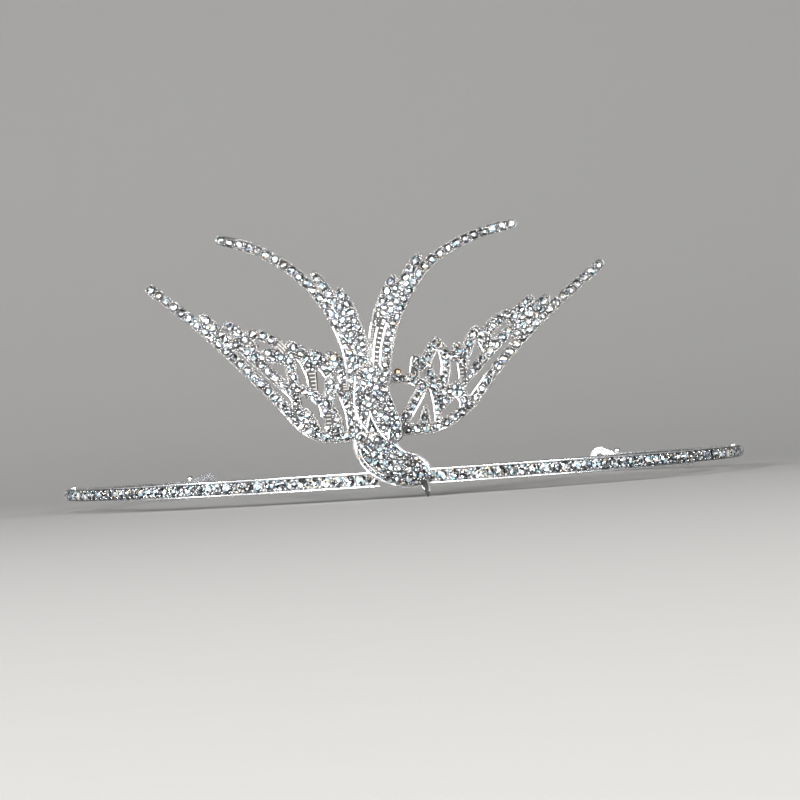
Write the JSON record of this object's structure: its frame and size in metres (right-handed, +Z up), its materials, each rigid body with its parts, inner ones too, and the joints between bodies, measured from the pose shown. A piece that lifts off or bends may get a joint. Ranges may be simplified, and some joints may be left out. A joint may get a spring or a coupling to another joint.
{
  "type": "swallow tiara headband",
  "caption": "Open sprung headband with a channel of round stones and a diving bird with pierced wings and a forked tail on its front.",
  "frame": {"origin": "under the middle of the whole piece, on the plane that the beak's tip and the two end loops rest on", "axes": "+X across the head, -Y to the front where the bird is, +Z up; the hoop lies flat"},
  "size_m": [0.1514, 0.1396, 0.0531],
  "materials": {
    "plated_metal": "bright silver-coloured plating, polished on the rims and the beak",
    "rhinestone": "clear faceted glass with a foiled back",
    "brass": "bare brass solder"
  },
  "bodies": {
    "root": {"band": "plated_metal", "band_stones_left": "rhinestone", "band_stones_right": "rhinestone", "left_wing": "plated_metal", "right_wing": "plated_metal", "left_wing_stones": "rhinestone", "right_wing_stones": "rhinestone", "left_tail": "plated_metal", "right_tail": "plated_metal", "left_tail_stones": "rhinestone", "right_tail_stones": "rhinestone", "body_plate": "plated_metal", "body": "plated_metal", "mantle": "plated_metal", "brass_bead": "brass"}
  },
  "joints": []
}
